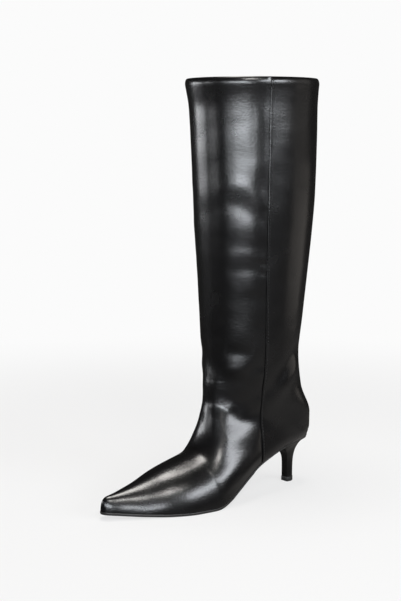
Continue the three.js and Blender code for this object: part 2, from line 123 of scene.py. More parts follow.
# %% The sections of the foot and of the leg
# front at, front up, back at, back up, outer, inner, widest, front power, back power, centre
FOOT = [
    (1.0, 0.055, 1.0, 0.05, 0.004, 0.004, 0.5, 2.0, 2.0, -0.083),
    (0.996, 0.1, 0.996, -0.12, 0.047, 0.047, 0.55, 2.0, 2.2, -0.083),
    (0.982, 0.14, 0.982, -0.12, 0.088, 0.088, 0.6, 2.0, 3.0, -0.083),
    (0.935, 0.182, 0.938, -0.12, 0.156, 0.156, 0.66, 2.0, 4.0, -0.073),
    (0.845, 0.274, 0.86, -0.12, 0.286, 0.28, 0.7, 1.9, 5.0, -0.047),
    (0.745, 0.39, 0.77, -0.12, 0.412, 0.414, 0.72, 1.9, 5.0, -0.016),
    (0.655, 0.463, 0.67, -0.12, 0.49, 0.5, 0.74, 1.9, 5.0, 0.008),
    (0.59, 0.52, 0.555, -0.12, 0.51, 0.475, 0.72, 2.0, 4.0, 0.018),
    (0.547, 0.66, 0.43, -0.12, 0.46, 0.43, 0.66, 2.0, 3.5, 0.018),
    (0.523, 0.835, 0.29, -0.12, 0.431, 0.416, 0.62, 2.0, 3.2, 0.01),
    (0.511, 0.966, 0.09, -0.12, 0.426, 0.416, 0.57, 2.0, 2.9, 0.0),
    (0.51, 1.093, -0.008, -0.092, 0.447, 0.436, 0.53, 2.0, 2.5, 0.0),
    (0.503, 1.217, -0.008, 0.192, 0.494, 0.483, 0.5, 2.0, 2.3, 0.0),
    (0.498, 1.346, 0.05, 0.553, 0.54, 0.53, 0.5, 2.0, 2.15, 0.0)]
# share of the leg's height, growth from ankle to collar, centre, tilt, back power
LEG = [(0.0, 0.0, 0.286, 0.187, 2.1), (0.117, 0.17, 0.278, 0.085, 2.0), (0.33, 0.45, 0.2695, 0.017, 2.0),
       (0.588, 0.757, 0.2645, 0.0, 2.0), (0.835, 0.93, 0.269, 0.0, 2.0), (1.0, 1.0, 0.2763, 0.0, 2.0)]
NAMES = ("front_at", "front_up", "back_at", "back_up", "outer", "inner", "widest", "front_power",
         "back_power", "centre")


def leg_row(up, grow, centre, tilt, back_power):
    half_depth = (ANKLE_DEPTH + grow * (COLLAR_DEPTH - ANKLE_DEPTH)) / 2
    half_width = (ANKLE_WIDTH + grow * (COLLAR_WIDTH - ANKLE_WIDTH)) / 2
    height = ANKLE_UP + up * (COLLAR_UP - ANKLE_UP)
    lift = (tilt * ANKLE_DEPTH - (COLLAR_DIP if up == 1 else 0)) / 2
    middle = centre * FOOT_LENGTH
    return (middle + half_depth, height + lift, middle - half_depth, height - lift, half_width, half_width,
            0.5, 2.0, back_power, 0.0)


# Columns of lengths, heights and widths turn from shares into millimetres.
foot = np.array(FOOT)
foot[:, [0, 2]] *= FOOT_LENGTH
foot[:, [1, 3]] = feather_up(foot[:, [0, 2]]) + foot[:, [1, 3]] * INSTEP_HEIGHT
foot[:, [4, 5, 9]] *= BALL_WIDTH
table = np.concatenate([foot, [leg_row(*row) for row in LEG]])
LAST_ROW = len(table) - 1
section_curves = {name: smooth_curve(range(len(table)), table[:, i]) for i, name in enumerate(NAMES)}
print(len(table), "sections, the last at", table[-1, 1].round(1), "mm")

# %% [markdown]
# ## The skin
# A point of the skin is given by a section number and a "turn" round it: 0 at the front, 1 at the back by
# the outer side, and -1 at the back by the inner side. Moving a point along its normal gives the inside of
# the leather, a raised edge or a crease, all from one function.

# %% Points on the skin
def skin(row, turn):
    row, turn = np.broadcast_arrays(np.asarray(row, float), np.asarray(turn, float))
    s = {name: curve(row) for name, curve in section_curves.items()}
    turn = (turn + 1) % 2 - 1
    side, share = np.where(turn < 0, -1.0, 1.0), np.abs(turn)
    in_front = share < 0.5
    angle = np.pi * np.where(in_front, share, share - 0.5)
    power = 2 / np.where(in_front, s["front_power"], s["back_power"])
    sine, cosine = np.clip(np.sin(angle), 0, 1), np.clip(np.cos(angle), 0, 1)
    wide = np.where(in_front, sine, cosine) ** power
    deep = np.where(in_front, cosine, sine) ** power
    along = np.where(in_front, s["widest"] * (1 - deep), s["widest"] + (1 - s["widest"]) * deep)
    x = s["centre"] + side * wide * np.where(side > 0, s["outer"], s["inner"])
    at = s["front_at"] + (s["back_at"] - s["front_at"]) * along
    up = s["front_up"] + (s["back_up"] - s["front_up"]) * along
    return np.stack([x, at, up], -1)


def normal_of(row, turn, row_step=0.04, turn_step=0.02):
    along = skin(np.minimum(row + row_step, LAST_ROW), turn) - skin(np.maximum(row - row_step, 0), turn)
    around = skin(row, turn + turn_step) - skin(row, turn - turn_step)
    normal = np.cross(along, around)
    return normal / (np.linalg.norm(normal, axis=-1, keepdims=True) + 1e-12)


def moved_skin(row, turn, offset):
    return skin(row, turn) + normal_of(row, turn) * np.asarray(offset)[..., None]


print("tip of the toe at", skin(0.0, 0.0).round(1), "mm")

# %% [markdown]
# The frame's origin lies under the middle of the boot, with the toe towards -Y. The heel's top piece tells
# where the back of the heel is, so that every fine piece lands on the solid it dresses.

# %% From the bench to the frame
HEEL_POST_AT, HEEL_POST_BACK, HEEL_POST_FRONT, HEEL_POST_WIDTH = 0.0733, 7.0, 3.4, 9.8
TOP_PIECE, TOP_PIECE_RIM = 5.0, 0.35
post_middle = HEEL_POST_AT * FOOT_LENGTH
HEEL_BACK_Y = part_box("heel_top_piece")[0][1] * 1000 + post_middle + HEEL_POST_FRONT + TOP_PIECE_RIM


def in_frame(points):
    points = np.asarray(points, float)
    return np.stack([points[..., 0], HEEL_BACK_Y - points[..., 1], points[..., 2]], -1) / 1000


print("back of the heel at y =", round(HEEL_BACK_Y, 2), "mm")

# %% [markdown]
# ## Camera and studio
# The camera stands low in front of the outer side, about 1.3 m away; the boot's own outline gave its place.
# Polished black leather shows little but reflections, so the places of the large soft boxes matter more
# than their power.

# %% The camera
YAW, PITCH, DISTANCE, CAMERA_UP, SIDEWAYS = 0.6708, 0.1293, 1298.2, 363.9, -107.9
FOCAL_PIXELS, PICTURE_PIXELS, SENSOR = 1218.8, 601, 36


def in_scene(name, data):
    thing = bpy.data.objects.new(name, data)
    bpy.context.scene.collection.objects.link(thing)
    return thing


towards_camera = np.array([math.cos(YAW), math.sin(YAW), 0.0])
to_the_right = np.array([math.sin(YAW), -math.cos(YAW), 0.0])
camera_place = to_the_right * SIDEWAYS + towards_camera * DISTANCE + np.array([0, 0, CAMERA_UP])
camera = in_scene("camera", bpy.data.cameras.new("camera"))
camera.data.sensor_width = SENSOR
camera.data.lens = FOCAL_PIXELS * SENSOR / PICTURE_PIXELS
camera.location = Vector(in_frame(camera_place))
looking = -towards_camera * math.cos(PITCH) - np.array([0, 0, math.sin(PITCH)])
camera.rotation_euler = Vector((looking[0], -looking[1], looking[2])).to_track_quat("-Z", "Y").to_euler()
bpy.context.scene.camera = camera
print("camera at", [round(v, 3) for v in camera.location], "lens", round(camera.data.lens, 1), "mm")

# %% [markdown]
# The studio's floor is a seamless sheet. A floor and a wall would show an edge behind the boot, and one
# strip with a quarter round has none. It isn't part of the boot.

# %% The sweep
def mesh_piece(name, points, faces, closed=False):
    mesh = bpy.data.meshes.new(name)
    mesh.from_pydata([tuple(p) for p in points], [], [tuple(f) for f in faces])
    shape = bmesh.new()
    shape.from_mesh(mesh)
    bmesh.ops.remove_doubles(shape, verts=shape.verts, dist=2e-6)
    bmesh.ops.dissolve_degenerate(shape, edges=shape.edges, dist=1e-7)
    if closed:
        bmesh.ops.recalc_face_normals(shape, faces=shape.faces)
        if shape.calc_volume(signed=True) < 0:
            bmesh.ops.reverse_faces(shape, faces=shape.faces)
    shape.to_mesh(mesh)
    shape.free()
    mesh.polygons.foreach_set("use_smooth", [True] * len(mesh.polygons))
    mesh.update()
    return in_scene(name, mesh)


def grid_faces(rows, columns, flip=False):
    i, j = np.meshgrid(np.arange(rows - 1), np.arange(columns - 1), indexing="ij")
    a = (i * columns + j).ravel()
    quads = np.stack([a, a + 1, a + columns + 1, a + columns], -1)
    return quads[:, ::-1] if flip else quads


def grid_piece(name, grid, flip=False):
    return mesh_piece(name, in_frame(grid).reshape(-1, 3), grid_faces(*grid.shape[:2], flip))


SWEEP_FRONT, SWEEP_FLAT, SWEEP_RADIUS, SWEEP_WALL = -6.0, 2.4, 1.0, 2.2
QUARTER_STEPS, HALF_WIDTH = 24, 5.0
away = Vector((-towards_camera[0], towards_camera[1], 0))
across = Vector((-away.y, away.x, 0))
quarter = np.linspace(0, math.pi / 2, QUARTER_STEPS + 1)
# distance behind the boot and height, in metres
profile = [(SWEEP_FRONT, 0.0),
           *zip(SWEEP_FLAT + SWEEP_RADIUS * np.sin(quarter), SWEEP_RADIUS * (1 - np.cos(quarter))),
           (SWEEP_FLAT + SWEEP_RADIUS, SWEEP_RADIUS + SWEEP_WALL)]
sweep_points = [away * behind + across * side + Vector((0, 0, height))
                for behind, height in profile for side in (-HALF_WIDTH, HALF_WIDTH)]
sweep = mesh_piece("floor_sweep", sweep_points, grid_faces(len(profile), 2))
sweep.visible_glossy = False
print("sweep with", len(sweep.data.polygons), "faces")

# %% [markdown]
# ## Shader words
# A finish is a small graph of nodes. Written with a class that overloads the usual signs, it reads like the
# sum it is, such as `gloss - 0.05 + 0.1 * patches`, and each sign adds its Math node.

# %% A class for shader sums
class Wire:
    def __init__(self, finish, socket):
        self.finish, self.socket = finish, socket

    def sum_with(self, operation, other, swapped=False):
        values = (other, self) if swapped else (self, other)
        return self.finish.node("ShaderNodeMath", {"operation": operation}, *values)

    def __add__(self, other):
        return self.sum_with("ADD", other)

    def __radd__(self, other):
        return self.sum_with("ADD", other, True)

    def __sub__(self, other):
        return self.sum_with("SUBTRACT", other)

    def __rsub__(self, other):
        return self.sum_with("SUBTRACT", other, True)

    def __mul__(self, other):
        return self.sum_with("MULTIPLY", other)

    def __rmul__(self, other):
        return self.sum_with("MULTIPLY", other, True)


class Finish:
    def __init__(self, name, world=None):
        self.material = world or bpy.data.materials.new(name)
        self.material.use_nodes = True
        self.tree = self.material.node_tree
        self.tree.nodes.clear()

    def node(self, kind, settings, *values, out=0, numbered=None, **named):
        """Any node. Its inputs are given in order, by name, or by number where a name is used twice."""
        node = self.tree.nodes.new(kind)
        for key, value in settings.items():
            setattr(node, key, value)
        inputs = dict(enumerate(values)) | (numbered or {})
        inputs |= {name.replace("_", " "): value for name, value in named.items()}
        for key, value in inputs.items():
            if isinstance(value, Wire):
                self.tree.links.new(value.socket, node.inputs[key])
            else:
                node.inputs[key].default_value = value
        return Wire(self, node.outputs[out]) if len(node.outputs) else node

    def place(self, stretch=(1, 1, 1)):
        where = self.node("ShaderNodeTexCoord", {}, out="Object")
        return self.node("ShaderNodeMapping", {}, Vector=where, Scale=stretch)

    def cloud(self, place, scale, detail, rough):
        return self.node("ShaderNodeTexNoise", {}, Vector=place, Scale=scale, Detail=detail,
                         Roughness=rough, out="Fac")

    def mix(self, low, high, share):
        return self.node("ShaderNodeMix", {"data_type": "RGBA"}, numbered={0: share, 6: low, 7: high}, out=2)

    def measure(self, operation, *vectors):
        return self.node("ShaderNodeVectorMath", {"operation": operation}, *vectors, out=1)

    def soft_step(self, value, start, end, low=0.0, high=1.0):
        return self.node("ShaderNodeMapRange", {"interpolation_type": "SMOOTHSTEP"}, value,
                         From_Min=start, From_Max=end, To_Min=low, To_Max=high)

    def bump(self, height, distance, under=None):
        named = {"Height": height, "Distance": distance, "Strength": 1.0}
        if under is not None:
            named["Normal"] = under
        return self.node("ShaderNodeBump", {}, **named)

    def surface(self, **named):
        shader = self.node("ShaderNodeBsdfPrincipled", {}, **named)
        self.node("ShaderNodeOutputMaterial", {}, Surface=shader)
        return self.material


print("a finish can make:", [name for name in vars(Finish) if not name.startswith("_")])

# %% [markdown]
# ## Finishes
# The upper is smooth calf with a glazed top: nearly black, with a fine pebbled grain that only shows inside
# the highlights, and a gloss that varies a little from place to place.

# %% Leather of the upper
GRAIN_DEPTH, WAVE_DEPTH = 0.00004, 0.0008


def leather_finish(name, low, high, gloss=0.26, grain=1.5, slack=1.0):
    leather = Finish(name)
    place = leather.place()
    pebbles = leather.node("ShaderNodeTexVoronoi", {"feature": "SMOOTH_F1"}, Vector=place, Scale=560.0,
                           Smoothness=0.6, Randomness=1.0, out="Distance")
    fine = leather.cloud(place, 620.0, 3.0, 0.6)
    patches = leather.cloud(place, 42.0, 3.0, 0.55)
    waves = leather.cloud(leather.place((1, 1, 1.6)), 24.0, 1.0, 0.4)
    pull = leather.cloud(leather.place((1, 1, 3.2)), 150.0, 2.0, 0.5)
    soft = leather.bump(waves, WAVE_DEPTH * slack)
    lines = leather.bump(pull, GRAIN_DEPTH * grain, soft)
    grained = leather.bump(pebbles + 0.6 * fine, GRAIN_DEPTH * grain, lines)
    return leather.surface(Base_Color=leather.mix(low, high, patches), Normal=grained,
                           Roughness=gloss - 0.05 + 0.1 * patches, Coat_Weight=0.15, Coat_Roughness=0.2,
                           Specular_IOR_Level=0.5)


upper_leather = leather_finish("polished_black_leather", (0.0012, 0.0012, 0.0014, 1),
                               (0.0026, 0.0024, 0.0025, 1))
heel_leather = leather_finish("heel_cover_leather", (0.0014, 0.0014, 0.0014, 1),
                              (0.003, 0.0027, 0.0025, 1), gloss=0.24, grain=0.6, slack=0.2)
lining_leather = leather_finish("lining_leather", (0.022, 0.02, 0.019, 1),
                                (0.045, 0.04, 0.037, 1), gloss=0.62, grain=1.2, slack=0.4)
print("leathers:", upper_leather.name, heel_leather.name, lining_leather.name)

# %% [markdown]
# The other pieces are plain: resin, rubber, thread, turned edge and sock. One function with a speckle
# serves them all. The floor glows more with the distance and goes white behind the boot, as a lit sweep
# does.

# %% Sole, tip, thread and floor
# name: darker and lighter colour, roughness, cells to a metre, depth of the bumps in metres
PLAIN = {
    "outsole_resin": ((0.007, 0.007, 0.007, 1), (0.014, 0.013, 0.012, 1), 0.42, 700.0, 0.00008),
    "heel_tip_rubber": ((0.006, 0.006, 0.006, 1), (0.011, 0.011, 0.011, 1), 0.5, 1400.0, 0.00005),
    "waxed_black_thread": ((0.004, 0.004, 0.004, 1), (0.01, 0.01, 0.01, 1), 0.6, 2600.0, 0.00004),
    "turned_edge": ((0.0015, 0.0015, 0.0015, 1), (0.003, 0.003, 0.003, 1), 0.7, 900.0, 0.00005),
    "insole_sock_leather": ((0.03, 0.027, 0.025, 1), (0.05, 0.045, 0.042, 1), 0.66, 900.0, 0.00008)}


def plain_finish(name, low, high, rough, cell, depth):
    finish = Finish(name)
    place = finish.place()
    speckle = finish.cloud(place, cell, 3.0, 0.6)
    patches = finish.cloud(place, 55.0, 2.0, 0.5)
    return finish.surface(Base_Color=finish.mix(low, high, patches), Normal=finish.bump(speckle, depth),
                          Roughness=rough - 0.06 + 0.12 * speckle)


plain = {name: plain_finish(name, *values) for name, values in PLAIN.items()}
floor = Finish("pale_floor")
glow = floor.soft_step(floor.measure("LENGTH", floor.place()), 0.35, 1.1, 0.72, 1.0)
floor_shader = floor.node("ShaderNodeBsdfPrincipled", {}, Base_Color=(0.6, 0.6, 0.6, 1), Roughness=0.9,
                          Specular_IOR_Level=0.1)
glow_shader = floor.node("ShaderNodeEmission", {}, (0.965, 0.965, 0.965, 1), 1.0)
blend = floor.node("ShaderNodeMixShader", {}, glow, floor_shader, glow_shader)
floor.node("ShaderNodeOutputMaterial", {}, blend)
sweep.data.materials.append(floor.material)
print("finishes:", list(plain), floor.material.name)

# %% [markdown]
# Each soft box is placed by its direction from the boot, because a reflection is found by its direction.
# The air gives a faint glow from below, which stands for the light that the floor throws back.

# %% Soft boxes
LEG_MIDDLE = np.array([0.0, 75.0, 0.0])
COOL, PALE = (0.91, 0.95, 1.0), (0.95, 0.97, 1.0)


def towards(azimuth):
    """A level direction from the boot, in degrees from the camera to the picture's right."""
    turn = math.radians(azimuth)
    return towards_camera * math.cos(turn) + to_the_right * math.sin(turn)


def soft_box(name, azimuth, distance, centre_up, wide, tall, radiance, tint, aim_up):
    lamp = bpy.data.lights.new(name, "AREA")
    lamp.shape, lamp.size, lamp.size_y, lamp.color = "RECTANGLE", wide / 1000, tall / 1000, tint
    lamp.energy = radiance * math.pi * lamp.size * lamp.size_y
    light = in_scene(name, lamp)
    place = LEG_MIDDLE + towards(azimuth) * distance + np.array([0, 0, centre_up])
    light.location = Vector(in_frame(place))
    target = Vector(in_frame(LEG_MIDDLE + np.array([0, 0, aim_up])))
    light.rotation_euler = (light.location - target).to_track_quat("Z", "Y").to_euler()


soft_box("key", 0, 2000, 365, 1050, 300, 12.0, COOL, 330)
soft_box("key_wide", -6, 1990, 365, 1750, 300, 9.0, COOL, 330)
soft_box("left_step", -62, 1500, 370, 600, 130, 8.0, PALE, 350)
soft_box("left_strip", -99, 1500, 370, 900, 260, 8.5, PALE, 350)
soft_box("right_high", 52, 1700, 700, 1150, 440, 14.0, COOL, 120)
soft_box("right_fill", 88, 1800, 800, 2000, 900, 0.42, (1.0, 0.95, 0.9), 350)
soft_box("right_low_fill", 104, 1500, 60, 1000, 400, 0.5, (1.0, 0.93, 0.86), 100)
soft_box("overhead", -45, 85, 1500, 540, 540, 17.0, (1.0, 0.97, 0.93), 0)
soft_box("toe_light", 18, 1500, 1350, 420, 260, 28.0, (1.0, 0.98, 0.95), 0)
GLOW_AZIMUTH = 80
world = bpy.data.worlds.new("studio_air")
bpy.context.scene.world = world
air = Finish("studio_air", world)
direction = air.node("ShaderNodeTexCoord", {}, out="Generated")
glow_side = towards(GLOW_AZIMUTH) * [1, -1, 0]
low = air.soft_step(air.measure("DOT_PRODUCT", direction, (0, 0, -1)), 0.12, 0.5)
right = air.soft_step(air.measure("DOT_PRODUCT", direction, glow_side), -0.3, 0.8)
shine = air.node("ShaderNodeBackground", {}, (1.0, 0.96, 0.92, 1), 0.03 + low * (0.04 + 0.24 * right))
air.node("ShaderNodeOutputWorld", {}, Surface=shine)
bpy.context.scene.view_settings.view_transform = "Standard"

# %% [markdown]
# ## Where the panels end
# The upper is cut in two panels: the front one covers foot and shin, the rear one heel and calf, and the
# rear one laps over the front one down both sides. The feather line, the side seam and the collar bound
# them. Each is found where the skin crosses it.

# %% Crossings
SEAM_AT_SOLE, SEAM_AT_COLLAR, SEAM_BOW = 0.312, 0.372, 0.012


def seam_at(up):
    share = np.clip(up / COLLAR_UP, 0, 1)
    straight = SEAM_AT_SOLE + (SEAM_AT_COLLAR - SEAM_AT_SOLE) * share
    return (straight + SEAM_BOW * np.sin(np.pi * share)) * FOOT_LENGTH


# Places round half a section where a crossing is looked for, closest at the side of the foot.
probe_shares = np.concatenate([np.linspace(0, 0.5, 160, endpoint=False),
                               0.5 + 0.5 * np.linspace(0, 1, 260) ** 2.2])


def first_crossing(rows, side, height_of, offset=0.0, otherwise=1.0):
    """Share of each section at which a signed height first turns negative."""
    height = height_of(moved_skin(rows[:, None], side * probe_shares, offset))
    crossed = (height[:, 1:] < 0) & (height[:, :-1] >= 0)
    share = np.full(len(rows), otherwise)
    for k in np.nonzero(crossed.any(1))[0]:
        j = crossed[k].argmax()
        part = height[k, j] / (height[k, j] - height[k, j + 1])
        share[k] = probe_shares[j] + part * (probe_shares[j + 1] - probe_shares[j])
    return share


def over_feather(points):
    return points[..., 2] - feather_up(points[..., 1])


def ahead_of_seam(points):
    return points[..., 1] - seam_at(points[..., 2])


def even_rows(first, last, spacing):
    """Section numbers spaced so that no part of the skin is stretched over more than the spacing."""
    fine = np.linspace(first, last, 3000)
    moves = [np.linalg.norm(np.diff(skin(fine, turn), axis=0), axis=-1) for turn in (0.0, 0.5, 0.8, 1.0)]
    length = np.concatenate([[0], np.cumsum(np.max(moves, axis=0))])
    return np.interp(np.linspace(0, length[-1], int(length[-1] / spacing) + 2), length, fine)


PANEL_SPACING, LINING_SPACING = 2.2, 4.5
rows = even_rows(0.0, LAST_ROW, PANEL_SPACING)
heel_meet = rows[np.nonzero(first_crossing(rows, 1, over_feather, otherwise=2.0) < 1.5)[0][-1]]
print(len(rows), "rows; the skin closes behind the heel at section", round(float(heel_meet), 2))

# %% [markdown]
# ## The front panel
# On the real boot this is one piece of leather, drawn over the toe and tacked under the insole. Here it is
# a grid: a line of points for each section, from the inner seam over the front to the outer seam, turned in
# below the feather line and inside the collar.

# %% Creases
# Troughs and ridges, each a soft line: at and up of one end, at and up of the other, half width, height.
SOFT_LINES = {
    "outer": [
        # slow waves of the shin beside the seam
        (128, 326, 90, 302, 8.0, 0.6), (128, 306, 90, 284, 7.0, -0.5), (126, 281, 88, 277, 7.0, 0.12),
        (126, 262, 88, 260, 7.0, -0.3), (124, 252, 88, 253, 6.0, 0.2), (124, 238, 88, 239, 6.0, -0.3),
        (124, 220, 88, 219, 7.0, 0.1), (124, 206, 88, 208, 8.0, -0.2),
        # the bulge over the ankle and the folds under it
        (122, 155, 100, 153, 7.0, -1.1), (122, 136, 102, 134, 7.5, 1.3), (112, 130, 82, 144, 5.0, -0.5),
        (112, 115, 82, 131, 6.0, 0.4), (112, 99, 80, 112, 5.0, -0.5), (120, 97, 108, 98, 4.0, 0.3),
        (110, 87, 80, 97, 4.5, 0.3), (126, 78, 78, 89, 11.0, -1.1), (146, 24, 82, 48, 15.0, 2.7),
        (131, 125, 120, 124.4, 1.3, -0.07), (131, 122, 120, 121.5, 1.8, 0.04),
        # the fold of the heel panel, running down and forward from the back
        (34, 162, 88, 104, 9.0, -1.3), (38, 142, 86, 90, 11.0, 1.7)],
    "inner": [
        (128, 318, 92, 300, 8.0, -0.4), (128, 282, 90, 276, 8.0, 0.4), (126, 250, 90, 246, 8.0, -0.35),
        (128, 152, 92, 150, 8.0, -0.9), (128, 136, 94, 134, 7.0, 0.9), (116, 112, 84, 126, 5.5, 0.8),
        (112, 94, 80, 100, 4.5, -0.8), (136, 77, 78, 89, 13.0, -1.5), (140, 30, 86, 50, 15.0, 1.4),
        (34, 146, 84, 106, 6.5, -0.6), (34, 132, 84, 94, 7.0, 0.8)]}
# Short puckers where the front panel is eased into the seam: height above the ground.
PUCKERS = [126, 178, 223, 233, 243, 266, 296]


def soft_line_lift(points):
    """How far the leather rises or sinks at points of the skin, in millimetres."""
    lift = np.zeros(points.shape[:-1])
    side = np.where(points[..., 0] >= 0, "outer", "inner")
    for name, *ends, width, depth in [(name, *line) for name in SOFT_LINES for line in SOFT_LINES[name]]:
        a, b = np.array(ends, float).reshape(2, 2)
        flat = points[..., 1:] - a
        run = b - a
        share = np.clip((flat @ run) / (run @ run), 0, 1)
        away_from = np.linalg.norm(flat - share[..., None] * run, axis=-1)
        taper = np.clip(4 * share * (1 - share), 0.0, 1) ** 0.6
        lift += np.where(side == name, depth * taper * np.exp(-(away_from / width) ** 2), 0)
    return lift


def pucker_lift(ahead, up):
    """Small ripples beside the seam, by distance ahead of it and height."""
    lift = np.zeros_like(up)
    for k, height in enumerate(PUCKERS):
        reach, deep = 7.0 + 3 * math.sin(2.1 * k), 0.34 + 0.12 * math.cos(1.7 * k)
        fade = np.exp(-(ahead / reach) ** 2)
        lift -= deep * np.exp(-((up - height - 0.25 * ahead) / 2.3) ** 2) * fade
        lift += 0.6 * deep * np.exp(-((up - height - 5.2 - 0.25 * ahead) / 2.8) ** 2) * fade
    return lift


def at_the_seat(at):
    return np.clip((70 - at) / 45, 0, 1)


def seat_round(points):
    """The heel panel curves in where it meets the seat."""
    over = np.clip(1 - over_feather(points) / 11, 0, 1)
    return -2.8 * over ** 2 * at_the_seat(points[..., 1])


def off_the_sole(points):
    return np.clip(over_feather(points) / 12, 0, 1)


def sway(points):
    """Slow unevenness of leather that has stood and been worn: long waves, a few tenths of a millimetre."""
    x, at, up = points[..., 0], points[..., 1], points[..., 2]
    leg = np.clip((up - 120) / 60, 0, 1)
    waves = 0.10 * np.sin(up / 11.5 + 0.05 * at + 0.6) * np.sin(at / 17 + up / 60)
    waves += 0.10 * np.sin(up / 23 - 0.05 * at + 2.1) + 0.04 * np.sin(up / 6.1 + at / 7 + 0.4)
    return waves * leg * np.clip((COLLAR_UP - up) / 40, 0, 1)


print(sum(map(len, SOFT_LINES.values())), "creases and", len(PUCKERS), "puckers a side")

# %% [markdown]
# The leather rolls outward over its stay tape and sinks in below it. A tube laid on the edge would break
# the reflection, so the roll is a curve of offsets by the distance below the edge.

# %% The collar's roll
ROLL = [(0.0, -0.02), (0.9, 0.28), (2.4, 0.62), (4.0, 0.68), (6.0, 0.48), (12.0, -0.26), (18.0, -0.98),
        (24.0, -1.5), (30.0, -1.7), (40.0, -1.75), (60.0, -1.55), (100.0, -0.8), (170.0, 0.0)]
# Rows over the last section and down inside: rise over it, and offset.
RIM = [(0.55, -0.22), (1.05, -0.5), (1.45, -0.85), (1.6, -1.2), (1.5, -1.55), (1.1, -1.85), (0.3, -2.1),
       (-3.0, -2.2), (-6.0, -2.15), (-10.0, -2.0)]
roll_curve = smooth_curve(*zip(*ROLL))


def top_edge(points_at):
    """Height of the collar's edge above a place of the skin."""
    front, back = table[-1, 1], table[-1, 3]
    share = (points_at - table[-1, 2]) / (table[-1, 0] - table[-1, 2])
    return back + (front - back) * share


def collar_lift(points):
    """The roll, and the slack below it, which is stronger over the shin than beside the seam."""
    lift = roll_curve(np.clip(top_edge(points[..., 1]) - points[..., 2], 0, ROLL[-1][0]))
    over_shin = np.clip((points[..., 1] - 95) / 15, 0, 1)
    return lift * np.where(lift < 0, 0.55 + 0.45 * over_shin, 1.0)


print("collar's roll between", min(r[1] for r in ROLL), "and", max(r[1] for r in ROLL), "mm")

# %% [markdown]
# Leather is cut in millimetres, but the skin counts in shares of a section. The length round each section
# is measured once, and two small functions turn the one into the other.

# %% The two panels' shares of each section
LAP, FRONT_COLUMN = 4.5, 2.0
fine_shares = np.linspace(0, 1, 420)


def distance_along(side):
    """Length round each section from the middle of the front, at the fine shares."""
    gap = np.linalg.norm(np.diff(skin(rows[:, None], side * fine_shares), axis=1), axis=-1)
    return np.concatenate([np.zeros((len(rows), 1)), np.cumsum(gap, axis=1)], 1)


girth = {side: distance_along(side) for side in (1, -1)}


def length_to(side, height_of):
    """Length round each section to where it crosses a line."""
    share = first_crossing(rows, side, height_of)
    return np.array([np.interp(s, fine_shares, g) for s, g in zip(share, girth[side])])


def share_of(side, lengths, picked=slice(None)):
    return np.stack([np.interp(d, g, fine_shares) for d, g in zip(lengths, girth[side][picked])])


seam_length = {side: length_to(side, ahead_of_seam) for side in (1, -1)}
feather_length = {side: length_to(side, over_feather) for side in (1, -1)}
print("half girth at the collar", round(float(feather_length[1][-1]), 1), "mm, at the toe",
      round(float(feather_length[1][0]), 2), "mm")

# %% [markdown]
# ## The collar's turned edge
# At the top the leather is folded over a stay tape and turned inside, which gives the soft roll that
# catches the light. Both panels get the same few rows inside, a little below the edge.

# %% Turned rows inside the collar
def row_below_top(drop):
    fine = np.linspace(LAST_ROW - 1, LAST_ROW, 400)
    return float(np.interp(-drop, skin(fine, 0.25)[:, 2] - skin(float(LAST_ROW), 0.25)[2], fine))


def turned_inside(turns, extra):
    """Rows of points over the rim and inside the collar for the turns of the last section."""
    lines = []
    for rise, offset in RIM:
        row = row_below_top(max(-rise, 0.0))
        line = moved_skin(row, turns, offset + extra)
        line[:, 2] += max(rise, 0.0)
        lines.append(line)
    return np.array(lines)


print("turned in to", -RIM[-1][0], "mm below the edge")

# %% [markdown]
# Now the front panel's grid can be filled, one half at a time. Creases, puckers and roll move each point
# out or in, and the edge under the lap is pressed down.

# %% The front panel
def front_half(side):
    """Points of one half of the front panel, from the middle of the front out to its edge."""
    end = np.minimum(feather_length[side], seam_length[side] + LAP)
    lengths = end[:, None] * np.linspace(0, 1, int(end.max() / FRONT_COLUMN) + 1)
    share = share_of(side, lengths)
    points = skin(rows[:, None], side * share)
    ahead = seam_length[side][:, None] - lengths
    has_seam = (seam_length[side] < feather_length[side])[:, None]
    lift = soft_line_lift(points) + sway(points)
    lift += np.where(has_seam, pucker_lift(np.clip(ahead, 0, None), points[..., 2]), 0)
    lift *= off_the_sole(points)
    under = np.where(has_seam, np.clip(1 - (ahead - 0.4) / 4.0, 0, 1), 0)
    lift = lift * (1 - 0.7 * under) - 0.55 * under + collar_lift(points)
    inside = turned_inside(side * share[-1], -0.08)
    return np.concatenate([moved_skin(rows[:, None], side * share, lift), inside]), has_seam[:, 0]

def turned_under(points, has_seam):
    """A last column drawn in below the feather line, where the panel is tacked under the insole."""
    tacked = np.concatenate([~has_seam, np.zeros(len(points) - len(has_seam), bool)])
    edge, middle = points[:, -1], points[:, 0]
    inward = (middle - edge) * np.array([1.0, 0.15, 0.0])
    inward /= np.linalg.norm(inward, axis=-1, keepdims=True) + 1e-9
    reach, drop = np.where(tacked, 2.2, 0.0)[:, None], np.where(tacked, 0.12, 0.0)[:, None]
    under = edge + inward * reach - drop * [0, 0, 1]
    return np.concatenate([points, under[:, None]], 1)


front_halves = [turned_under(*front_half(side)) for side in (-1, 1)]
front_grid = np.concatenate([front_halves[0][:, ::-1], front_halves[1][:, 1:]], 1)
front_panel = grid_piece("upper_front_panel", front_grid)
print("front panel:", len(front_panel.data.polygons), "faces")

# %% [markdown]
# ## The rear panel
# The rear panel wraps heel and calf. Its front edge is folded, so it stands up from the front panel as a
# thin rounded lip, with the stitches in a shallow groove behind it. The lip is a short table: distance
# behind the edge, height above the skin.

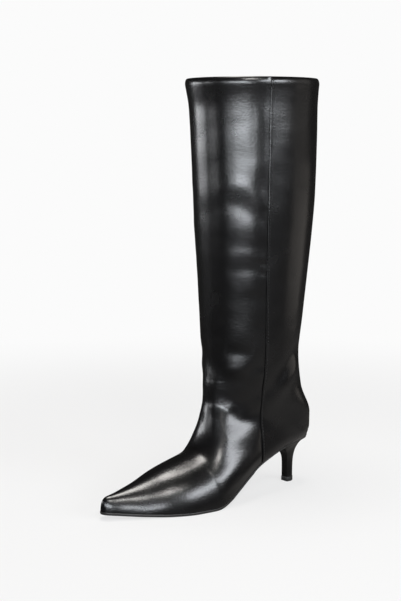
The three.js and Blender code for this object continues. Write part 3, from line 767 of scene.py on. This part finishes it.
# %% The lip of the lap seam
LIP = [(0.0, -0.55), (0.12, 0.05), (0.4, 0.42), (0.9, 0.6), (1.5, 0.58), (2.3, 0.36), (3.1, 0.5),
       (5.0, 0.52), (9.0, 0.42), (20.0, 0.25)]
lip_curve = smooth_curve(*zip(*LIP))
lip_places = np.array([0, 0.06, 0.12, 0.25, 0.4, 0.65, 0.9, 1.2, 1.5, 1.9, 2.3, 2.7, 3.1, 4.0, 5.0, 6.5,
                       8.0])
rear_rows = np.nonzero(seam_length[1] < feather_length[1])[0]
print("the side seam starts at section", round(float(rows[rear_rows[0]]), 2))


def rear_half(side, columns):
    """Points of one half of the rear panel, from its lip back to the feather line or the back's middle."""
    start, end = seam_length[side][rear_rows][:, None], feather_length[side][rear_rows][:, None]
    room, needed = np.clip(end - start, 0, None), 2 * lip_places[-1]
    near = np.where(room > needed, lip_places, room * lip_places / needed)
    rest = (room - near[:, -1:]) * (np.arange(1, columns) / (columns - 1))
    behind = np.concatenate([near, near[:, -1:] + rest], 1)
    share = share_of(side, start + behind, rear_rows)
    points = skin(rows[rear_rows][:, None], side * share)
    lift = soft_line_lift(points) + sway(points) * 0.55
    lift *= off_the_sole(points) * np.clip(behind / 6, 0, 1)
    lift += lip_curve(behind) + collar_lift(points) + seat_round(points)
    outside = moved_skin(rows[rear_rows][:, None], side * share, lift)
    return np.concatenate([outside, turned_inside(side * share[-1], 0.05)])


# %% [markdown]
# The two halves are separate grids that meet at the middle of the back. Merged into one mesh they close
# without a seam, as one piece of leather bent round the calf does.

# %% The rear panel
REAR_COLUMNS = 62
rear_outer, rear_inner = rear_half(1, REAR_COLUMNS), rear_half(-1, REAR_COLUMNS)
outer_faces = grid_faces(*rear_outer.shape[:2])
inner_faces = grid_faces(*rear_inner.shape[:2], flip=True) + rear_outer.shape[0] * rear_outer.shape[1]
rear_points = np.concatenate([rear_outer.reshape(-1, 3), rear_inner.reshape(-1, 3)])
rear_panel = mesh_piece("upper_rear_panel", in_frame(rear_points),
                        np.concatenate([outer_faces, inner_faces]))
print("rear panel:", len(rear_panel.data.polygons), "faces")

# %% [markdown]
# ## Stitches
# A row of waxed thread holds the lap, a little behind the lip. Geometry Nodes walk along a line on the
# skin: one capsule of thread per stitch, turned to the path and sunk into the groove.

# %% The stitch tree
STITCH_BEHIND, STITCH_PITCH, STITCH_LENGTH, THREAD = 2.3, 3.3, 2.5, 0.26


def stitch_tree(material):
    tree = bpy.data.node_groups.new("stitches_along_a_line", "GeometryNodeTree")
    tree.interface.new_socket("Geometry", in_out="INPUT", socket_type="NodeSocketGeometry")
    for name in ("Pitch", "Stitch Length", "Thread Radius"):
        tree.interface.new_socket(name, in_out="INPUT", socket_type="NodeSocketFloat")
    tree.interface.new_socket("Geometry", in_out="OUTPUT", socket_type="NodeSocketGeometry")
    given, curve, walk, tangent, turn, half, size, ball, place, real, paint, result = (
        tree.nodes.new(kind) for kind in (
            "NodeGroupInput", "GeometryNodeMeshToCurve", "GeometryNodeResampleCurve",
            "GeometryNodeInputTangent", "FunctionNodeAlignRotationToVector", "ShaderNodeMath",
            "ShaderNodeCombineXYZ", "GeometryNodeMeshUVSphere", "GeometryNodeInstanceOnPoints",
            "GeometryNodeRealizeInstances", "GeometryNodeSetMaterial", "NodeGroupOutput"))
    walk.mode, turn.axis, half.operation = "LENGTH", "X", "MULTIPLY"
    half.inputs[1].default_value = 0.5
    for name, value in (("Segments", 8), ("Rings", 6), ("Radius", 1.0)):
        ball.inputs[name].default_value = value
    paint.inputs["Material"].default_value = material
    for source, output, goal, entry in (
            (given, "Geometry", curve, "Mesh"), (curve, "Curve", walk, "Curve"),
            (given, "Pitch", walk, "Length"), (walk, "Curve", place, "Points"),
            (tangent, "Tangent", turn, "Vector"), (turn, "Rotation", place, "Rotation"),
            (given, "Stitch Length", half, 0), (half, 0, size, "X"),
            (given, "Thread Radius", size, "Y"), (given, "Thread Radius", size, "Z"),
            (ball, "Mesh", place, "Instance"), (size, 0, place, "Scale"),
            (place, "Instances", real, "Geometry"), (real, "Geometry", paint, "Geometry"),
            (paint, "Geometry", result, "Geometry")):
        tree.links.new(source.outputs[output], goal.inputs[entry])
    return tree


def along_path(name, path, tree):
    mesh = bpy.data.meshes.new(name + "_path")
    mesh.from_pydata([tuple(p) for p in in_frame(path)], [(k, k + 1) for k in range(len(path) - 1)], [])
    line = in_scene(name + "_line", mesh)
    walker = line.modifiers.new("stitches", "NODES")
    walker.node_group = tree
    sizes = {"Pitch": STITCH_PITCH, "Stitch Length": STITCH_LENGTH, "Thread Radius": THREAD}
    for item in tree.interface.items_tree:
        if item.in_out == "INPUT" and item.name in sizes:
            walker[item.identifier] = sizes[item.name] / 1000
    made = bpy.data.meshes.new_from_object(line.evaluated_get(bpy.context.evaluated_depsgraph_get()))
    bpy.data.objects.remove(line)
    made.polygons.foreach_set("use_smooth", [True] * len(made.polygons))
    return in_scene(name, made)


print("a stitch of", STITCH_LENGTH, "mm every", STITCH_PITCH, "mm")

# %% [markdown]
# The outer and the inner seam get one row each. It starts a little above the sole and ends just below the
# collar, where the thread of a real boot is fastened off inside.

# %% The two rows of stitches
stitches = []
thread_tree = stitch_tree(plain["waxed_black_thread"])
for side, name in ((1, "stitches_outer_seam"), (-1, "stitches_inner_seam")):
    picked = rear_rows[(feather_length[side][rear_rows] - seam_length[side][rear_rows]) > 8]
    picked = picked[skin(rows[picked], 0.5 * side)[..., 2] < COLLAR_UP - 1.5]
    turns = side * share_of(side, seam_length[side][picked][:, None] + STITCH_BEHIND, picked)
    points = skin(rows[picked][:, None], turns)
    lift = lip_curve(STITCH_BEHIND) + collar_lift(points) + 0.06
    path = moved_skin(rows[picked][:, None], turns, lift)[:, 0]
    stitches.append(along_path(name, path, thread_tree))
print("stitches:", [len(piece.data.polygons) for piece in stitches], "faces")

# %% [markdown]
# ## The lining
# Inside, the boot is lined with thin matt leather. It is the same skin moved in by the wall, from the toe's
# cavity up to the turned edge of the collar.

# %% The lining
LINING_COLUMNS, UNDER_LEATHER = 61, 0.15
lining_rows = even_rows(2.1, row_below_top(7.0), LINING_SPACING)
lining_half = {}
for side in (1, -1):
    edge = first_crossing(lining_rows, side, over_feather, -WALL)
    turns = side * (edge[:, None] * np.linspace(0, 1, LINING_COLUMNS))
    lift = soft_line_lift(skin(lining_rows[:, None], turns)) - WALL - UNDER_LEATHER
    lining_half[side] = moved_skin(lining_rows[:, None], turns, lift)
lining = grid_piece("upper_lining", np.concatenate([lining_half[-1][:, ::-1], lining_half[1][:, 1:]], 1),
                    flip=True)
print("lining:", len(lining.data.polygons), "faces")

# %% [markdown]
# ## Sole and insole
# The outsole is one thin plate along the feather line, thicker under the forepart than in the shank, with a
# square, inked edge. Rings of points across the foot, from toe to heel, make it one closed skin.

# %% The outline of the foot
SOLE_RIM, SOLE_CHAMFER, SEAT_INSET, HEEL_INSET, INSOLE = 0.4, 0.6, -2.9, 1.0, 2.0


def spread_along(points, shares):
    """The line again, with its points at the given shares of its length."""
    length = np.concatenate([[0], np.cumsum(np.linalg.norm(np.diff(points, axis=0), axis=-1))])
    return np.stack([np.interp(length[-1] * shares, length, points[:, k]) for k in (0, 1)], -1)


def foot_outline(offset, first_row, move, count=150):
    """Outer and inner half of the feather line's plan, from toe to heel, moved out by a distance."""
    halves, shares = [], (1 - np.cos(np.linspace(0, math.pi, count))) / 2
    for side in (1, -1):
        near = np.linspace(first_row, float(heel_meet) + 0.25, 700)
        share = first_crossing(near, side, over_feather, offset)
        points = moved_skin(near, side * share, offset)
        crossed = np.nonzero(share < 0.9999)[0]
        halves.append(spread_along(points[max(crossed[0] - 1, 0):crossed[-1] + 2], shares))
    loop = np.concatenate([halves[0], halves[1][::-1]])
    along = np.roll(loop, -1, 0) - np.roll(loop, 1, 0)
    along /= np.linalg.norm(along, axis=-1, keepdims=True) + 1e-12
    reach = move + SEAT_INSET * at_the_seat(loop[:, 1:])
    loop = loop + reach * np.stack([-along[:, 1], along[:, 0]], -1)
    return loop[:count], loop[count:][::-1]


outer_line, inner_line = foot_outline(0.0, 0.0, SOLE_RIM)
print("sole's outline:", np.ptp(outer_line[:, 1]).round(1), "mm long,",
      (outer_line[:, 0].max() - inner_line[:, 0].min()).round(1), "mm wide")

# %% [markdown]
# Outsole and sock are plates that follow the arch. A flat plate could be bent to it, but rings whose
# heights come from the feather line fit the upper everywhere.

# %% Plates under the foot
NARROWEST = 0.5
def sole_bottom(at):
    ramp = np.clip((at / FOOT_LENGTH - SOLE_STEP_AT) / SOLE_STEP_RUN, 0, 1)
    return feather_up(at) - CLEARANCE - SHANK_SOLE - (FOREPART_SOLE - SHANK_SOLE) * ramp


def closed_rings(name, rings):
    """A closed skin over a stack of rings, with a middle point at both ends."""
    rings = np.asarray(rings)
    count, around = rings.shape[:2]
    points = np.concatenate([rings.reshape(-1, 3), rings[0].mean(0)[None], rings[-1].mean(0)[None]])
    i, j = np.meshgrid(np.arange(count - 1), np.arange(around), indexing="ij")
    a, b = (i * around + j).ravel(), (i * around + (j + 1) % around).ravel()
    faces = [tuple(f) for f in np.stack([a, b, b + around, a + around], -1)]
    first, last, top = count * around, count * around + 1, (count - 1) * around
    faces += [(k, first, (k + 1) % around) for k in range(around)]
    faces += [(top + (k + 1) % around, last, top + k) for k in range(around)]
    return mesh_piece(name, in_frame(points), faces, closed=True)
def plate_rings(outer, inner, top_at, bottom_at, edge):
    """Rings across a plate; the edge is a short table of inset and share of the thickness."""
    rings = []
    for p, q in zip(outer, inner):
        width = np.linalg.norm(p - q)
        if width < NARROWEST:
            continue
        ring = [(share, 1.0) for share in np.linspace(0, 1, 9)[1:-1]]
        loop = [(1 - min(inset / width, 0.4), level) for inset, level in edge]
        loop += [(share, 0.0) for share in np.linspace(1, 0, 9)[1:-1]]
        loop += [(min(inset / width, 0.4), level) for inset, level in edge[::-1]]
        points = []
        for share, level in ring + loop:
            flat = q + (p - q) * share
            low, high = bottom_at(flat[1]), top_at(flat[1])
            points.append((flat[0], flat[1], low + (high - low) * level))
        rings.append(points)
    return rings
print("bottom of the sole at heel and ball:", sole_bottom(np.array([20.0, 160.0])).round(1), "mm up")

# %% [markdown]
# The two plates differ in outline, thickness and edge: the sole is cut square with broken corners, and the
# sock is rounded off.

# %% The outsole and the insole sock
SOLE_EDGE = [(0.5, 1.0), (0.16, 0.96), (0.0, 0.84), (-0.06, 0.55), (0.0, 0.3), (0.2, 0.1),
             (SOLE_CHAMFER, 0.0)]
SOCK_EDGE = [(0.6, 1.0), (0.15, 0.9), (0.0, 0.6), (0.0, 0.2), (0.3, 0.0)]
outsole = closed_rings("outsole_plate", plate_rings(
    outer_line, inner_line, lambda at: feather_up(at) - 0.05, sole_bottom, SOLE_EDGE))
sock = closed_rings("insole_sock", plate_rings(
    *foot_outline(-WALL, 2.5, -0.15, 110), lambda at: feather_up(at) + INSOLE, feather_up, SOCK_EDGE))
print("outsole", len(outsole.data.polygons), "faces, sock", len(sock.data.polygons), "faces")

# %% [markdown]
# ## The heel
# The kitten heel is a moulded block wrapped in leather: a slim post with a flat breast that flares into the
# seat. Each level is the post's outline blended into the seat's, and the blend grows steeply near the top.
# A separate top piece of hard rubber takes the wear.

# %% Outlines of post and seat
HEEL_FACE_SHARE, HEEL_FLARE, BREAST_FLARE, HEEL_BREAST_AT = 0.84, 3.6, 7.0, 0.212
HEEL_ROUND, HEEL_FACE = 64, 12


def with_face(round_part):
    """Adds the straight breast, with its corners slightly broken."""
    start, end = round_part[0], round_part[-1]
    shares = np.concatenate([[0.02], np.linspace(0.06, 0.94, HEEL_FACE - 2), [0.98]])[:, None]
    return np.concatenate([round_part, end + (start - end) * shares])


def post_outline(rim):
    corner = math.acos(HEEL_FACE_SHARE)
    angle = -corner + (math.pi + 2 * corner) * np.linspace(0, 1, HEEL_ROUND + 1)
    reach = np.where(np.sin(angle) > 0, HEEL_POST_BACK + rim, (HEEL_POST_FRONT + rim) / math.sin(corner))
    across = (HEEL_POST_WIDTH / 2 + rim) * np.cos(angle)
    return with_face(np.stack([across, post_middle - np.sin(angle) * reach], -1))


def seat_outline():
    outer, inner = foot_outline(0.0, 0.0, -HEEL_INSET, 400)
    breast = HEEL_BREAST_AT * FOOT_LENGTH
    line = np.concatenate([outer[outer[:, 1] < breast], inner[inner[:, 1] < breast][::-1]])
    return with_face(spread_along(line, np.linspace(0, 1, HEEL_ROUND + 1)))


post, seat = post_outline(0.0), seat_outline()
print("seat of the heel:", np.ptp(seat[:, 1]).round(1), "by", np.ptp(seat[:, 0]).round(1), "mm")

# %% [markdown]
# The block is built in levels from the ground up and closed over the seat. The top piece under it is a
# short prism with broken rims, separate as on a real heel, where it is swapped once it is worn.

# %% The heel block and the top piece
HEEL_FOOT = [(0.0, 0.35), (0.12, 0.12), (0.35, 0.0)]
heel_rings = []
for up, inset in HEEL_FOOT:
    shrink = 1 - inset / HEEL_POST_BACK
    flat = np.array([0, post_middle]) + (post - np.array([0, post_middle])) * shrink
    heel_rings.append(np.column_stack([flat, np.full(len(flat), TOP_PIECE + up)]))
towards_breast = np.clip((seat[:, 1:] - post_middle) / (HEEL_BREAST_AT * FOOT_LENGTH - post_middle), 0, 1)
flare = HEEL_FLARE + (BREAST_FLARE - HEEL_FLARE) * towards_breast
for level in np.concatenate([np.linspace(0.03, 0.6, 12), np.linspace(0.63, 1, 32)]):
    flat = post + (seat - post) * level ** flare
    bottom = TOP_PIECE + HEEL_FOOT[-1][0]
    heel_rings.append(np.column_stack([flat, bottom + (sole_bottom(seat[:, 1]) - bottom) * level]))
for share in (0.75, 0.5, 0.25):
    flat = seat.mean(0) + (seat - seat.mean(0)) * share
    heel_rings.append(np.column_stack([flat, sole_bottom(flat[:, 1])]))
heel = closed_rings("heel_block", heel_rings)
tip_rings = []
for up, inset in ((0.0, 0.55), (0.12, 0.2), (0.45, 0.0), (TOP_PIECE - 0.35, 0.0),
                  (TOP_PIECE - 0.08, 0.12), (TOP_PIECE, 0.4)):
    tip_rings.append(np.column_stack([post_outline(TOP_PIECE_RIM - inset), np.full(len(post), up)]))
heel_tip = closed_rings("heel_tip", tip_rings)
print("heel", len(heel.data.polygons), "faces, tip", len(heel_tip.data.polygons), "faces")

# %% [markdown]
# ## Dressing the solids
# Each fine piece takes the place of the solid it dresses and gets its finish. Nothing on this boot moves,
# so all of them ride the one body.

# %% Finishes and bodies
TURNED_BAND = 0.015
DRESSED = [
    (front_panel, "upper", "upper_leather", upper_leather),
    (rear_panel, "upper", "upper_leather", upper_leather),
    (lining, "upper", "insole_lining", lining_leather),
    (sock, "insole", "insole_lining", plain["insole_sock_leather"]),
    (outsole, "outsole", "outsole_resin", plain["outsole_resin"]),
    (heel, "heel", "heel_cover", heel_leather),
    (heel_tip, "heel_top_piece", "top_piece_rubber", plain["heel_tip_rubber"])]
for piece, node, slot, finish in DRESSED:
    piece.data.materials.append(finish)
    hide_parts(node)
    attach(piece, "root")
for piece in stitches:
    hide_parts("upper")
    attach(piece, "root")
# The faces that look inwards near the collar get the duller turned edge.
collar_middle = Vector(in_frame([0.0, (table[-1, 0] + table[-1, 2]) / 2, COLLAR_UP]))
for panel in (front_panel, rear_panel):
    panel.data.materials.append(plain["turned_edge"])
    for face in panel.data.polygons:
        outward = (face.center - collar_middle) * Vector((1, 1, 0))
        if face.center.z > collar_middle.z - TURNED_BAND and face.normal.dot(outward) < 0:
            face.material_index = 1
